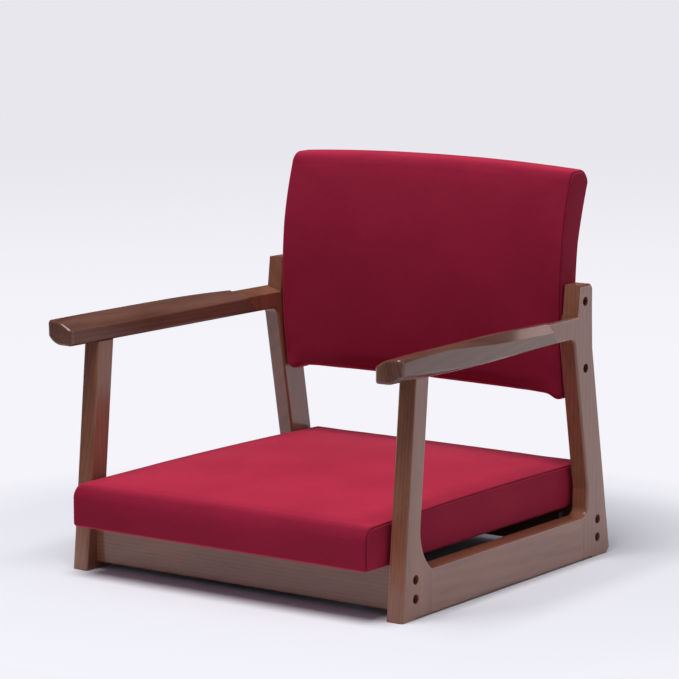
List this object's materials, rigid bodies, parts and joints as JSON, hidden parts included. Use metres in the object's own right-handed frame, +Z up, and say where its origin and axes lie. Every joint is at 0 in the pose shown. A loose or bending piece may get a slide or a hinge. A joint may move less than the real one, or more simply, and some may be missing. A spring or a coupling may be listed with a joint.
{
  "type": "low armchair for floor seating",
  "caption": "Low floor armchair: walnut-stained wood side frames with sculpted armrests, padded seat on cross rails and a padded, gently curved backrest between the rear posts.",
  "frame": {"origin": "on the floor, under the middle of the chair's bounding box", "axes": "+X across the chair, to the right as seen from the front; +Y from the front edge to the back; +Z up"},
  "size_m": [0.594, 0.5682, 0.553],
  "materials": {
    "walnut_wood": "walnut-stained satin lacquer on solid wood",
    "dowel_wood": "bare hardwood dowels",
    "plywood": "bare plywood boards",
    "crimson_fabric": "woven crimson upholstery fabric",
    "foam": "soft polyurethane foam",
    "black_cloth": "thin black non-woven dust cloth",
    "zinc_steel": "zinc-plated steel",
    "black_steel": "black-finished steel bolts",
    "nylon": "dark nylon washers"
  },
  "bodies": {
    "root": {"right_front_leg": "walnut_wood", "left_front_leg": "walnut_wood", "right_floor_rail": "walnut_wood", "left_floor_rail": "walnut_wood", "right_rear_post": "walnut_wood", "left_rear_post": "walnut_wood", "right_armrest": "walnut_wood", "left_armrest": "walnut_wood", "front_rail": "walnut_wood", "rear_rail": "walnut_wood", "floor_rail_dowels": "dowel_wood", "armrest_dowels": "dowel_wood", "seat_board": "plywood", "backrest_board": "plywood", "seat_cover": "crimson_fabric", "seat_cover_left_side": "crimson_fabric", "seat_cover_right_side": "crimson_fabric", "backrest_cover": "crimson_fabric", "backrest_cover_left_side": "crimson_fabric", "backrest_cover_right_side": "crimson_fabric", "seat_foam": "foam", "backrest_foam": "foam", "seat_dust_cover": "black_cloth", "barrel_nuts": "zinc_steel", "seat_bolts": "zinc_steel", "seat_inserts": "zinc_steel", "backrest_inserts": "zinc_steel", "frame_bolts": "black_steel", "backrest_bolts": "black_steel", "backrest_spacers": "nylon"}
  },
  "joints": []
}
